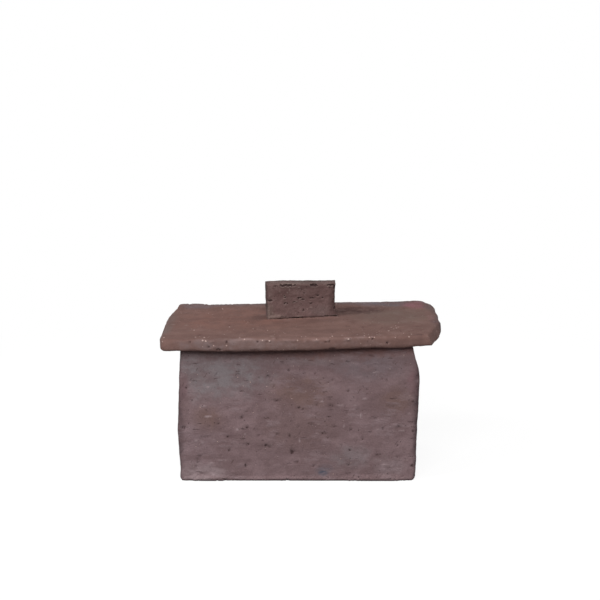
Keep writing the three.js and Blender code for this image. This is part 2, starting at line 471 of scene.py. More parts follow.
def span(tree, value, low, high, to_low=0.0, to_high=1.0):
    """Maps low..high of a value to to_low..to_high, smoothly and clamped."""
    inputs = {"Value": value, "From Min": low, "From Max": high}
    inputs.update({"To Min": to_low, "To Max": to_high})
    made = node(tree, "ShaderNodeMapRange", inputs, interpolation_type="SMOOTHSTEP", clamp=True)
    return made.outputs["Result"]


def noise_field(tree, place, scale, detail=3.0, roughness=0.5):
    """Cloudy noise with about this many clouds per metre."""
    inputs = {"Vector": place, "Scale": scale, "Detail": detail, "Roughness": roughness}
    return node(tree, "ShaderNodeTexNoise", inputs).outputs["Fac"]


def tint(tree, amount, base, colour, blend="MIX"):
    """Lays a colour over another by an amount."""
    settings = {"data_type": "RGBA", "blend_type": blend, "clamp_factor": True}
    made = node(tree, "ShaderNodeMix", {0: amount, 6: base, 7: colour}, **settings)
    return made.outputs[2]


def new_group(name, inputs, outputs):
    """An empty shader node group with its sockets, and its input and output nodes."""
    tree = bpy.data.node_groups.new(name, "ShaderNodeTree")
    for socket, value in inputs:
        kind = "NodeSocketFloat" if isinstance(value, float) else "NodeSocketVector"
        made = tree.interface.new_socket(socket, in_out="INPUT", socket_type=kind)
        if value is not None:
            made.default_value = value
    for socket in outputs:
        tree.interface.new_socket(socket, in_out="OUTPUT", socket_type="NodeSocketFloat")
    return tree, tree.nodes.new("NodeGroupInput"), tree.nodes.new("NodeGroupOutput")


def stretch(tree, place, length):
    """The place with patterns drawn out along the slab by this factor."""
    share = maths(tree, "DIVIDE", 1.0, length)
    factors = node(tree, "ShaderNodeCombineXYZ", {"X": share, "Y": share, "Z": 1.0}).outputs[0]
    return vector_maths(tree, "MULTIPLY", place, factors)


def make_mottling_group():
    """Slow patches, blotches, wiped streaks and fine grain of a clay surface, each from 0 to 1."""
    tree, given, result = new_group(
        "clay_mottling",
        [("Place", None), ("Streak Length", 6.0), ("Streaks Per Metre", 300.0)],
        ["Patches", "Blotches", "Streaks", "Grain"],
    )
    place = given.outputs["Place"]
    smeared = stretch(tree, place, 1.8)
    along = stretch(tree, place, given.outputs["Streak Length"])
    streaks = noise_field(tree, along, given.outputs["Streaks Per Metre"], 3.0, 0.6)
    wiped = span(tree, noise_field(tree, place, 38.0, 2.0), 0.44, 0.64, 0.05, 1.0)
    outputs = {
        "Patches": span(tree, noise_field(tree, place, 32.0, 3.0), 0.36, 0.64),
        "Blotches": span(tree, noise_field(tree, smeared, 110.0, 3.0, 0.6), 0.38, 0.64),
        "Streaks": maths(tree, "MULTIPLY", span(tree, streaks, 0.42, 0.7), wiped),
        "Grain": span(tree, noise_field(tree, place, 560.0, 3.0, 0.75), 0.33, 0.7),
    }
    for name, value in outputs.items():
        tree.links.new(value, result.inputs[name])
    return tree


def make_speck_group():
    """Specks or scratches, such as grog grains or the pits they leave. Most cells hold none."""
    tree, given, result = new_group(
        "clay_specks",
        [
            ("Place", None),
            ("Turn", 0.0),
            ("Length", 1.0),
            ("Cells Per Metre", 250.0),
            ("Share", 0.2),
            ("Radius", 0.2),
        ],
        ["Specks"],
    )
    place = given.outputs["Place"]
    wander = node(
        tree, "ShaderNodeTexNoise", {"Vector": place, "Scale": 700.0, "Detail": 1.0}
    ).outputs["Color"]
    wander = vector_maths(tree, "SUBTRACT", wander, (0.5, 0.5, 0.5))
    bent = vector_maths(tree, "MULTIPLY_ADD", wander, (0.002, 0.002, 0.002), place)
    turned = node(
        tree,
        "ShaderNodeVectorRotate",
        {"Vector": bent, "Axis": (0.3, 1.0, 0.2), "Angle": given.outputs["Turn"]},
        rotation_type="AXIS_ANGLE",
    ).outputs[0]
    drawn = stretch(tree, turned, given.outputs["Length"])
    cells = node(
        tree,
        "ShaderNodeTexVoronoi",
        {"Vector": drawn, "Scale": given.outputs["Cells Per Metre"], "Randomness": 1.0},
    )
    chance = node(tree, "ShaderNodeSeparateColor", {"Color": cells.outputs["Color"]})
    chosen = maths(tree, "LESS_THAN", chance.outputs["Red"], given.outputs["Share"])
    size = span(tree, chance.outputs["Green"], 0.0, 1.0, 0.5, 1.0)
    size = maths(tree, "MULTIPLY", given.outputs["Radius"], size)
    core = maths(tree, "MULTIPLY", size, 0.65)
    inputs = {"Value": cells.outputs["Distance"], "From Min": core, "From Max": size}
    inputs.update({"To Min": 1.0, "To Max": 0.0})
    inside = node(tree, "ShaderNodeMapRange", inputs, clamp=True).outputs["Result"]
    tree.links.new(maths(tree, "MULTIPLY", inside, chosen), result.inputs["Specks"])
    return tree


def make_tone_and_shading_mark_group():
    """A soft, ragged patch round one place. Some are tones that the fire or a hand left, some are
    painted shade or painted light.
    """
    tree, given, result = new_group(
        "tone_and_shading_mark",
        [("Place", None), ("Centre", (0, 0, 0)), ("Reach", (0.02, 0.02, 0.02))],
        ["Mark"],
    )
    offset = vector_maths(tree, "SUBTRACT", given.outputs["Place"], given.outputs["Centre"])
    scaled = vector_maths(tree, "DIVIDE", offset, given.outputs["Reach"])
    away = vector_maths(tree, "LENGTH", scaled)
    rough = noise_field(tree, given.outputs["Place"], 120.0, 4.0, 0.6)
    ragged = maths(tree, "MULTIPLY_ADD", rough, 1.1, away)
    tree.links.new(span(tree, ragged, 0.9, 1.75, 1.0, 0.0), result.inputs["Mark"])
    return tree


mottling_group = make_mottling_group()
speck_group = make_speck_group()
tone_and_shading_mark_group = make_tone_and_shading_mark_group()


def grouped(tree, group, **inputs):
    """Places a node group. Its inputs are named with underscores for spaces."""
    made = tree.nodes.new("ShaderNodeGroup")
    made.node_tree = group
    for name, value in inputs.items():
        socket = made.inputs[name.replace("_", " ").title()]
        if isinstance(value, bpy.types.NodeSocket):
            tree.links.new(value, socket)
        else:
            socket.default_value = value
    return made


def specks(tree, place, share, **inputs):
    """Specks or scratches in this share of the cells, each from 0 to 1."""
    return grouped(tree, speck_group, place=place, share=share, **inputs).outputs["Specks"]


def kept_on_points(tree, name):
    """An amount that the modelling kept on each point."""
    return node(tree, "ShaderNodeAttribute", attribute_name=name).outputs["Fac"]


def lay_tone_and_shading_marks(tree, place, colour, marks):
    """Lays marks over a colour. A mark is a colour, a centre, a reach and a strength."""
    for mark_colour, centre, reach, strength in marks:
        centre, reach = Vector(centre) * MM, Vector(reach) * MM
        mark = grouped(tree, tone_and_shading_mark_group, place=place, centre=centre, reach=reach)
        amount = maths(tree, "MULTIPLY", mark.outputs["Mark"], strength)
        colour = tint(tree, amount, colour, mark_colour)
    return colour


def darkest_of(tree, *parts):
    """The strongest of several shades, each a value and its strength."""
    shade = None
    for value, strength in parts:
        part = maths(tree, "MULTIPLY", value, strength)
        shade = part if shade is None else maths(tree, "MAXIMUM", shade, part)
    return shade


def clay_material(
    name, plain, dark, pale, streak, rub, pit_share, speck_share, streak_length,
    streak_share=0.38, bump=0.5, grain=0.045, marks=(),
):
    """Unglazed clay. Shares say how much of it has streaks, dark pits or pale specks of grog."""
    material = bpy.data.materials.new(name)
    material.use_nodes = True
    tree = material.node_tree
    tree.nodes.clear()
    place = node(tree, "ShaderNodeTexCoord").outputs["Object"]
    mottling = grouped(tree, mottling_group, place=place, streak_length=streak_length).outputs

    # The tones of the fired clay, its kiln marks, painted shade and light, and the wiping and
    # rubbing over them
    colour = tint(tree, maths(tree, "MULTIPLY", mottling["Patches"], 0.55), plain, dark)
    colour = lay_tone_and_shading_marks(tree, place, colour, marks)
    colour = tint(tree, maths(tree, "MULTIPLY", mottling["Blotches"], 0.6), colour, dark)
    colour = tint(tree, maths(tree, "MULTIPLY", mottling["Streaks"], streak_share), colour, streak)
    uneven = span(tree, mottling["Blotches"], 0.0, 1.0, 0.9, 0.4)
    rubbed = maths(tree, "MULTIPLY", kept_on_points(tree, "rubbed"), uneven)
    colour = tint(tree, rubbed, colour, rub)
    grains = span(tree, mottling["Grain"], 0.0, 1.0, 1 - grain, 1 + grain)
    grey = node(tree, "ShaderNodeCombineColor", {0: grains, 1: grains, 2: grains}).outputs[0]
    colour = tint(tree, 1.0, colour, grey, "MULTIPLY")

    # Dark pits, drag marks and scratches, and painted shade in the hollows
    deep = clay(58, 43, 43)
    pits = specks(tree, place, pit_share, cells_per_metre=230.0, radius=0.2)
    drags = specks(tree, place, pit_share, cells_per_metre=270.0, radius=0.17, length=6.0)
    scratches = specks(
        tree, place, pit_share, cells_per_metre=230.0, radius=0.17, length=5.0, turn=1.05
    )
    crumbly = span(tree, mottling["Grain"], 0.0, 1.0, 0.4, 1.5)
    hollow = maths(tree, "MULTIPLY", kept_on_points(tree, "hollow"), crumbly)
    hollow = maths(tree, "SUBTRACT", span(tree, hollow, -0.1, 0.95), 0.025)
    shade = darkest_of(tree, (pits, 0.5), (hollow, 1.0), (drags, 0.4), (scratches, 0.45))
    colour = tint(tree, maths(tree, "MULTIPLY", shade, 0.85), colour, deep)

    # Pale grog, and grog combed out by wiping
    grog = specks(tree, place, speck_share, cells_per_metre=310.0, radius=0.24)
    combed = specks(tree, place, speck_share, cells_per_metre=260.0, radius=0.22, length=4.0)
    light = maths(tree, "MAXIMUM", maths(tree, "MULTIPLY", combed, 0.4), grog)
    colour = tint(tree, maths(tree, "MULTIPLY", light, 0.6), colour, pale)

    height = maths(tree, "MULTIPLY", mottling["Streaks"], 0.3)
    for part, rise in ((mottling["Grain"], 0.3), (pits, -1.6), (drags, -0.9), (grog, 0.6)):
        height = maths(tree, "MULTIPLY_ADD", part, rise, height)
    relief = {"Strength": 1.0, "Distance": bump * MM, "Height": height}
    normal = node(tree, "ShaderNodeBump", relief).outputs["Normal"]
    rough = span(tree, mottling["Streaks"], 0.0, 1.0, 0.95, 0.85)
    shader = node(
        tree,
        "ShaderNodeBsdfPrincipled",
        {"Base Color": colour, "Roughness": rough, "Normal": normal, "Specular IOR Level": 0.05},
    )
    node(tree, "ShaderNodeOutputMaterial", {"Surface": shader.outputs[0]})
    return material


smoke_grey, violet, brown = clay(123, 115, 117), clay(113, 99, 102), clay(110, 87, 81)
rose, blush, blue_grey = clay(118, 88, 92), clay(142, 125, 127), clay(68, 74, 88)
# Painted shade, darker down the body's upright front corners and along its foot
painted_edge_shade = clay(70, 58, 61)

body_marks = [
    (smoke_grey, (-90, FRONT_FACE, 116), (64, 60, 32), 0.9),
    (smoke_grey, (-5, FRONT_FACE, 131), (150, 60, 9), 0.45),
    (violet, (71, FRONT_FACE, 123), (44, 60, 18), 0.8),
    (rose, (-124, -70, 102), (10, 60, 18), 0.6),
    (rose, (115, -70, 107), (9, 60, 15), 0.6),
    (brown, (-2, FRONT_FACE, 94), (36, 60, 20), 0.7),
    (brown, (-98, FRONT_FACE, 65), (20, 60, 15), 0.7),
    (brown, (95, FRONT_FACE, 86), (20, 60, 17), 0.6),
    (clay(106, 85, 83), (-6, FRONT_FACE, 56), (46, 60, 28), 0.55),
    (smoke_grey, (51, FRONT_FACE, 25), (24, 60, 15), 0.5),
    (clay(132, 113, 117), (-112, FRONT_FACE, 40), (26, 60, 34), 0.45),
    (blush, (-105, FRONT_FACE, 9), (32, 60, 12), 0.8),
    (blush, (88, FRONT_FACE, 15), (20, 60, 13), 0.7),
    (clay(98, 94, 102), (22, FRONT_FACE, 12), (9, 10, 7), 0.6),
    (blue_grey, (22, FRONT_FACE, 8.5), (5.5, 9, 3.2), 0.9),
    # Painted shade down the upright corners and along the foot of the front
    (painted_edge_shade, (-129, FRONT_FACE, 70), (7, 14, 110), 0.8),
    (painted_edge_shade, (120.5, FRONT_FACE, 70), (8, 14, 110), 0.85),
    (painted_edge_shade, (-5, -74, 0), (150, 12, 2.5), 0.6),
    # Painted shadow of the lid's overhang across the top of the front wall
    (clay(112, 74, 66), (-5, FRONT_FACE, 143), (170, 12, 16), 0.65),
]
body_clay = clay_material(
    "body_clay",
    plain=clay(128, 107, 109),
    dark=clay(107, 87, 88),
    pale=clay(166, 147, 143),
    streak=clay(137, 119, 122),
    rub=clay(152, 134, 136),
    marks=body_marks,
    streak_length=4.0,
    streak_share=0.5,
    speck_share=0.2,
    pit_share=0.42,
)

lid_marks = [
    (clay(106, 92, 92), (0, 89, 157), (175, 20, 12), 0.9),
    (clay(102, 95, 100), (98, 82, 157), (50, 28, 10), 0.9),
    (clay(113, 98, 100), (-118, 80, 155), (28, 18, 10), 0.8),
    (clay(136, 92, 99), (127, 66, 158), (18, 22, 12), 0.8),
    (clay(127, 92, 90), (138, 5, 157), (5, 30, 12), 0.6),
    (clay(96, 84, 83), (144, 62, 157), (12, 34, 12), 0.75),
    # Painted shade on the lid's right end, which turns away from the light
    (clay(84, 70, 72), (150, 10, 153), (10, 60, 16), 0.9),
    (clay(86, 72, 74), (150, -20, 153), (17, 34, 16), 0.9),
    (clay(110, 89, 84), (137, -56, 149), (12, 36, 9), 0.9),
    # Painted light, lighter in front of the knob where its shadow falls
    (clay(126, 98, 91), (4, -28, 156), (70, 34, 10), 0.6),
    (clay(108, 92, 85), (95, 12, 157), (46, 50, 12), 0.75),
    (clay(122, 89, 81), (-75, 5, 155), (75, 62, 12), 0.8),
    # Painted shade along the lid's left end: a greyer, darker strip and a dark rim
    (clay(108, 94, 90), (-145, -15, 154), (10, 80, 14), 0.8),
    (clay(86, 72, 68), (-149.5, -10, 151), (6, 100, 14), 0.7),
    (clay(116, 99, 98), (-100, -92, 150), (80, 7, 12), 0.9),
    (clay(124, 106, 104), (-30, -92, 148), (80, 6, 8), 0.8),
    (clay(124, 106, 104), (80, -92, 149), (70, 6, 8), 0.8),
    # A pale band along the front lip: partly wear, partly a painted highlight
    (clay(138, 113, 108), (0, -88.5, 155), (150, 3.5, 2.4), 0.25),
    # Painted shadows of the knob on the lid, to its right and to its left
    (clay(74, 54, 52), (58, 42, 157), (38, 24, 12), 0.9),
    (clay(80, 60, 57), (-47, 14, 155), (13, 16, 12), 0.7),
]
lid_clay = clay_material(
    "lid_clay",
    plain=clay(119, 92, 86),
    dark=clay(104, 80, 75),
    pale=clay(172, 150, 140),
    streak=clay(127, 102, 97),
    rub=clay(138, 115, 111),
    marks=lid_marks,
    streak_length=4.0,
    streak_share=0.3,
    speck_share=0.12,
    pit_share=0.12,
    bump=0.4,
)

knob_marks = [
    (clay(96, 75, 73), (-2, 5, 184), (55, 12, 16), 0.75),
    (clay(106, 92, 88), (-2, 17, 195), (60, 30, 4), 0.8),
    (clay(62, 52, 48), (-2, 36, 194), (60, 20, 7), 0.95),
    # Painted shade in the torn fissures under the knob's top edge
    (clay(66, 50, 47), (-2, 5, 189.6), (45, 9, 2.6), 0.5),
    (clay(130, 112, 106), (-17, 2, 193.2), (32, 9, 1.2), 0.5),
    (clay(118, 100, 95), (20, 7, 192.7), (22, 9, 1.1), 0.35),
    (clay(114, 96, 92), (-33.5, 0, 185), (3, 9, 12), 0.5),
    (clay(112, 98, 91), (-38, 3, 162), (9, 9, 12), 0.8),
    (clay(122, 104, 98), (-28, 1, 157.5), (14, 8, 4), 0.6),
    (clay(110, 93, 91), (20, 8, 163), (16, 8, 8), 0.6),
    (clay(88, 66, 64), (-20, 3, 183), (14, 8, 6), 0.6),
    # Painted shade on the knob's left end and down its right end
    (clay(62, 51, 47), (-42, 16, 184), (7.5, 38, 32), 0.95),
    (clay(68, 51, 49), (38, 11, 176), (10, 12, 34), 0.9),
]
knob_clay = clay_material(
    "knob_clay",
    plain=clay(114, 91, 89),
    dark=clay(94, 73, 71),
    pale=clay(150, 128, 122),
    streak=clay(124, 104, 101),
    rub=clay(132, 116, 110),
    marks=knob_marks,
    streak_length=2.5,
    streak_share=0.4,
    speck_share=0.08,
    pit_share=0.15,
    bump=0.35,
    grain=0.08,
)
grog_clay = clay_material(
    "grog_clay",
    plain=clay(196, 172, 163),
    dark=clay(150, 126, 119),
    pale=clay(210, 190, 180),
    streak=clay(205, 184, 176),
    rub=clay(206, 186, 178),
    streak_length=1.0,
    pit_share=0.0,
    speck_share=0.0,
    bump=0.2,
)


def finish(piece, body, material, node_name=None):
    """Gives a piece its clay and its body, and hides the node that it stands for."""
    piece.data.materials.clear()
    piece.data.materials.append(material)
    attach(piece, body)
    if node_name:
        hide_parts(node_name)


# The box

WALLS = ("front_wall", "back_wall", "left_wall", "right_wall")
COILS = tuple(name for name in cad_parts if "coil" in name)
BATTENS = tuple(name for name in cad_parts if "batten" in name)

# Open pits of the front wall, as they look in the photograph:
# x, z, half width, half height, depth
FRONT_PITS = [
    (-118, 99, 1.2, 1.2, 1.5), (-65, 114, 1.8, 1.0, 0.8), (-121, 57, 3.2, 1.9, 1.0),
    (-100, 47, 4.2, 1.2, 1.1), (-77, 47, 3.0, 1.5, 1.0), (-57, 57, 2.0, 1.5, 1.5),
    (-62, 67, 1.3, 1.7, 1.1), (-57, 39, 2.8, 1.2, 1.1), (-75, 33, 1.5, 1.8, 1.3),
    (-107, 22, 2.6, 1.9, 0.9), (-58, 16, 2.0, 1.4, 1.2), (-35, 111, 2.3, 1.6, 1.4),
    (-44, 110, 1.7, 1.1, 1.0), (-14, 118, 1.1, 1.1, 1.4), (2, 115, 1.0, 2.3, 0.7),
    (-28, 86, 4.6, 1.5, 0.8), (-4, 78, 2.4, 1.0, 1.1), (1, 77, 1.2, 0.9, 1.0),
    (9, 61, 3.2, 1.0, 0.7), (33, 58, 2.8, 1.1, 1.4), (21, 51, 2.8, 1.0, 1.2),
    (26, 46, 1.4, 1.3, 1.2), (15, 81, 1.5, 1.1, 1.1), (29, 80, 2.6, 2.1, 1.2),
    (-25, 50, 2.8, 1.0, 0.9), (-13, 48, 1.4, 2.5, 0.9), (-35, 37, 4.4, 1.9, 1.4),
    (-10, 31, 2.1, 2.3, 2.0), (-7, 20, 3.2, 1.0, 0.9), (12, 16, 1.5, 1.0, 1.1),
    (-43, 16, 1.2, 1.0, 1.1), (47, 96, 1.2, 1.1, 1.4), (81, 109, 1.5, 1.3, 0.8),
    (86, 107, 1.0, 2.2, 1.0), (83, 56, 1.2, 1.1, 1.2), (99, 58, 1.9, 1.4, 1.5),
    (75, 67, 2.4, 1.1, 0.8), (90, 80, 4.5, 2.4, 0.5), (50, 55, 1.4, 1.1, 0.9),
    (57, 77, 1.8, 1.2, 0.8), (44, 78, 1.0, 2.1, 0.8), (78, 27, 4.2, 2.4, 0.8),
    (48, 17, 1.2, 1.0, 1.2), (113, 16, 2.4, 1.6, 1.8), (114, 53, 1.0, 1.7, 1.1),
    (113, 85, 1.2, 1.0, 1.2), (40, 38, 1.0, 1.8, 0.9), (49, 33, 1.6, 1.0, 0.9),
    (22, 29, 3.2, 1.1, 0.8), (-86, 61, 1.4, 1.0, 0.8), (62, 45, 1.6, 1.0, 0.8),
]

# Pale strokes that wiping left on it: x, z, half width, half height
FRONT_STROKES = [
    (-97, 69, 4.8, 0.9), (-101, 80, 3.8, 0.9), (-97, 100, 4.2, 0.8), (-109, 43, 2.6, 1.2),
    (-103, 41, 1.6, 1.5), (-83, 22, 8.5, 1.1), (-92, 19, 5.5, 1.0), (-110, 7, 4.0, 1.0),
    (-92, 7, 4.5, 0.9), (-67, 55, 2.4, 1.0), (-59, 50, 1.4, 1.4), (74, 116, 5.5, 0.8),
    (64, 88, 3.4, 1.0), (54, 81, 2.2, 1.0), (102, 54, 4.4, 1.0), (85, 17, 5.5, 1.5),
    (82, 12, 3.4, 1.5), (-3, 43, 0.9, 2.8), (16, 51, 3.8, 0.9), (38, 81, 5.5, 0.8),
    (43, 59, 0.9, 2.8), (109, 72, 2.8, 0.9), (-12, 72, 2.4, 0.8), (20, 85, 3.4, 0.8),
    (60, 70, 0.9, 2.6),
]

walls = {name: closed_copy(name) for name in WALLS}
for wall in walls.values():
    refine(wall, WALL_MESH)
    weather_wall(wall)

# The pits are opened a little wider than their dark middles look
pit_chance = random.Random(7)
front_pits = [
    ((x, FRONT_FACE, z), (1.12 * wide, 6, 1.1 * high), deep)
    for x, z, wide, high, deep in FRONT_PITS
]
press(walls["front_wall"], crumbled(front_pits, pit_chance), dark_depth=1.1)
front_strokes = [((x, FRONT_FACE, z), (wide, 6, high), 0.3) for x, z, wide, high in FRONT_STROKES]
swell(walls["front_wall"], front_strokes, ragged=0.5, rubbed=1.0)

for name, count, centre, half, thick in (
    ("back_wall", 45, (-5, BACK_FACE, 70), (118, 0, 64), 6),
    ("left_wall", 24, (LEFT_FACE, 0, 70), (0, 58, 64), 8),
    ("right_wall", 24, (RIGHT_FACE, 0, 70), (0, 58, 64), 8),
):
    press(walls[name], strewn(count, centre, half, thick, pit_chance), dark_depth=1.0)

inner = {name: closed_copy(name) for name in COILS + ("base_slab",)}
for piece in inner.values():
    refine(piece, INNER_MESH)
    weather_wall(piece)

# The walls lean and bulge along their front edges: place, move, reach
for place, move, reach in (
    ((116, -66, 143), (1.4, 0, 0), 18),
    ((120, -66, 110), (0.6, 0, 0), 20),
    ((116, -66, 12), (1.0, 0, 0), 40),
    ((-127, -66, 75), (-0.4, 0, 0), 120),
    ((-125, -72, 2), (-1.3, -0.4, 0), 11),
):
    push(list(walls.values()) + list(inner.values()), place, move, reach)

# The foot of the front, which spreads a little
swell(
    walls["front_wall"],
    [
        ((-5, -72, 0), (150, 4.5, 5), 1.7),
        ((-98, FRONT_FACE, 0), (30, 6, 7), 2.8),
        ((76, FRONT_FACE, 0), (44, 6, 7), 2.8),
    ],
    "Y",
    way=-1,
    ragged=0.2,
)

# Nicks in the upright edges of the front and of the back
for name, face in (("front_wall", FRONT_FACE), ("back_wall", BACK_FACE)):
    for side in (-1, 1):
        nicks = []
        for _ in range(18):
            z = pit_chance.uniform(5, 138)
            place = (edge_at(walls[name], side, z), face, z)
            reach = (1.8, 2.5, pit_chance.uniform(0.9, 2.6))
            nicks.append((place, reach, pit_chance.uniform(0.5, 1)))
        press(walls[name], nicks, dark_depth=1.2)

# The upright joints are smeared shut, except for a few short cracks
for name in ("left_wall", "right_wall"):
    for end in (-1, 1):
        smears = []
        for z in range(6, 142, 12):
            reach = (200, 2.5, pit_chance.uniform(6, 11))
            smears.append(((0, end * 59.5, z), reach, pit_chance.uniform(0.6, 0.9)))
        swell(walls[name], smears, "Y", way=end)

for name, piece in (walls | inner).items():
    if name in WALLS or name == "base_slab":
        rest_on_ground(piece)
    finish(piece, "box", body_clay, name)


# The lid

lid = closed_copy("lid_slab")
refine(lid, LID_MESH)
weather_lid(lid)

# The hand-cut outline, first on the left and then on the right: place, move, reach
for place, move, reach in (
    ((-147, -55, 149), (2.4, 0, 0), 38),
    ((-145, 32, 149), (-1.3, 0, 0), 60),
    ((-141, -86, 143), (-2.4, -1.0, -1.5), 14),
    ((-145, -78, 148), (-1.2, 0, 0), 22),
    ((-147, -20, 154), (1.0, 0, 0), 26),
    ((141, 72, 152), (3.0, 0.3, 0), 26),
    ((142, 80, 158), (-0.6, -0.8, -0.6), 14),
    ((147, 56, 153), (4.0, 0, 0), 26),
    ((148, 26, 154), (1.8, 0, 0), 32),
    ((147, 0, 150), (-1.2, 0, 0), 36),
    ((147, -14, 152), (-0.5, 0, 0), 24),
    ((140, -50, 143), (1.9, 0, 0), 22),
):
    push([lid], place, move, reach)

# The rear edge curls up a little, and the front edge sags
swell(
    lid,
    [
        ((0, 92, 157), (260, 55, 9), 1.2),
        ((-137, 90, 155), (12, 24, 8), 2.0),
        ((-118, 90, 155), (14, 24, 8), 2.0),
        ((136, 88, 158), (24, 34, 8), 1.5),
    ],
    "Z",
)
push([lid], (-146, -40, 157), (0, 0, -1.2), 26)
swell(
    lid,
    [((-5, LIP_FACE, 141.5), (120, 11, 5), 1.1), ((104, LIP_FACE, 142), (34, 11, 5), 1.0)],
    "Z",
    way=-1,
    ragged=0.15,
)

# The slanted cut, wiped soft along its top edge, and the front corner it leaves
push([lid], (126, -86, 147), (3.0, 0, 0.4), 24)
push([lid], (133, -66, 145), (1.6, 0, 0), 26)
soften(lid, [((136, -50, 158), (20, 45, 6)), ((147, 22, 151), (9, 72, 14))], passes=18)
soften(lid, [((128, -88, 142), (9, 10, 9))], passes=14)

# The front lip, lumpy and nicked where the slab was cut and wiped.
# Hollows and ridges: x, z, half width, half height, depth
LIP_HOLLOWS = [
    (-77, 156, 2.0, 1.0, 1.0), (-76, 151, 1.4, 2.4, 0.8), (-67, 155.5, 1.4, 1.1, 0.9),
    (-45, 152, 1.1, 3.0, 0.9), (-40, 155.5, 2.6, 1.0, 1.0), (-35, 151.5, 1.4, 1.4, 0.9),
    (-32, 151, 1.2, 1.0, 1.0), (-26, 155, 2.0, 1.3, 0.9), (23, 151, 1.8, 1.1, 0.9),
    (27, 151.5, 1.0, 2.2, 1.0), (45, 151.5, 4.6, 1.1, 0.5), (66, 154, 1.2, 1.0, 1.0),
    (70, 154, 1.4, 1.0, 1.0), (-113, 151, 1.7, 1.4, 0.9), (85, 150, 1.5, 1.4, 1.5),
    (-94, 146, 2.0, 1.6, 0.8), (-84, 143, 3.0, 1.6, 1.4), (-48, 142.5, 8.0, 1.4, 0.7),
    (30, 143.5, 5.0, 1.5, 0.8), (60, 144, 6.0, 1.5, 0.8), (-127, 155, 1.6, 1.2, 0.8),
    (95, 153.5, 2.0, 1.0, 0.8),
]
LIP_RIDGES = [
    (-77, 154, 2.4, 1.2, 0.6), (-70, 155.5, 1.6, 1.2, 0.6), (-58, 153.5, 11, 1.8, 0.8),
    (-40, 153, 4.2, 1.5, 0.7), (-29, 155, 2.0, 1.4, 0.7), (-12, 153, 9.0, 1.6, 0.7),
    (3, 153, 2.0, 2.6, 0.7), (13, 153, 5.0, 1.4, 0.7), (25, 153, 2.6, 1.6, 0.6),
    (46, 154.5, 4.4, 1.4, 0.7), (58, 155.5, 7.5, 1.3, 0.7), (70, 156, 4.4, 1.2, 0.6),
    (83, 156, 7.0, 1.2, 0.6), (97, 156, 8.0, 1.3, 0.6), (107, 155.5, 3.4, 1.2, 0.6),
    (-91, 151.5, 3.2, 1.2, 0.5), (-103, 154, 6.5, 1.2, 0.5), (-120, 154, 6.5, 1.4, 0.5),
    (64, 147, 4.0, 1.1, 0.5), (-88, 146.5, 2.0, 1.2, 0.6),
]
swell(
    lid,
    [((x, LIP_FACE, z), (wide, 5, high), up) for x, z, wide, high, up in LIP_RIDGES],
    ragged=0.4,
    rubbed=0.85,
)
press(
    lid,
    [((x, LIP_FACE, z), (wide, 4, high), deep) for x, z, wide, high, deep in LIP_HOLLOWS],
    dark_depth=1.1,
)

# Pits in its top: x, y, half width, half length, depth
TOP_PITS = [
    (-49, -45, 1.5, 3.0, 0.9), (31, -66, 1.5, 3.5, 0.7), (47, -36, 4.2, 5.0, 0.8),
    (63, -41, 2.2, 5.0, 0.6), (118, -43, 5.0, 3.0, 0.7), (118, -80, 4.5, 4.5, 0.8),
    (-105, -68, 2.0, 4.0, 1.0), (-98, 53, 1.6, 7.0, 0.6), (88, -60, 3.0, 3.0, 0.6),
    (-76, -25, 1.2, 4.0, 0.7), (10, -70, 1.4, 4.0, 0.6), (95, 66, 6.0, 3.0, 0.5),
]
top_pits = [((x, y, LID_TOP), (wide, long, 4), deep) for x, y, wide, long, deep in TOP_PITS]
rear_nicks = [((x, y, LID_TOP), (wide, 4, 3), 1.3) for x, y, wide in ((-100, 93, 3), (-86, 92, 4))]
press(lid, crumbled(top_pits, pit_chance) + rear_nicks, dark_depth=1.2)

# The clay that lutes the knob on, wiped up against its front
luting = [
    ((x, knob_front(x) - 1.3, LID_TOP - 1 + LID_RISE * x), (7, 3.4, 3), 1.1)
    for x in range(-38, 40, 6)
]
swell(lid, luting, "Z", ragged=0.5)
find_wear(lid, flat=0.22, proud=0.7)
finish(lid, "lid", lid_clay, "lid_slab")

for name in BATTENS:
    batten = closed_copy(name)
    refine(batten, INNER_MESH)
    weather_lid(batten)
    find_wear(batten)
    finish(batten, "lid", lid_clay, name)

# The knob: its face is torn under the top edge and gapes at the foot
knob = closed_copy("lid_knob")
refine(knob, KNOB_MESH)
weather_knob(knob)
for place, move, reach in (
    ((-25, 12, 192), (0, 0, 1.3), 42),
    ((12, 16, 192), (0, 0, 0.7), 60),
    ((31.5, 33, 186), (3.0, 0, 0), 24),
    ((34.7, 12, 192), (0.9, -0.2, 0.3), 6),
    ((34, 32, 192), (1.2, 0, 0.2), 12),
):
    push([knob], place, move, reach)
swell(knob, [on_knob(-30, 157, 16, 3.0, 1.0), on_knob(-38, 162, 6, 8, 0.7)], "Y", way=-1)
swell(
    knob,
    [
        on_knob(-16.1, 183.7, 1.2, 1.0, 0.4), on_knob(-3.8, 189.3, 2.4, 0.9, 0.4),
        on_knob(3.4, 186.6, 2.0, 1.2, 0.3), on_knob(-6.8, 174.1, 2.6, 0.8, 0.3),
        on_knob(8.2, 173.2, 2.4, 0.9, 0.3), on_knob(9.1, 167.1, 2.0, 0.9, 0.3),
        on_knob(-2.2, 165.2, 1.2, 1.0, 0.3), on_knob(-2.2, 157.9, 4.5, 0.8, 0.4),
        on_knob(-23.9, 185, 1.6, 2.0, 0.3), on_knob(-13.5, 187, 1.2, 2.2, 0.3),
    ],
    ragged=0.5,
    rubbed=0.7,
)
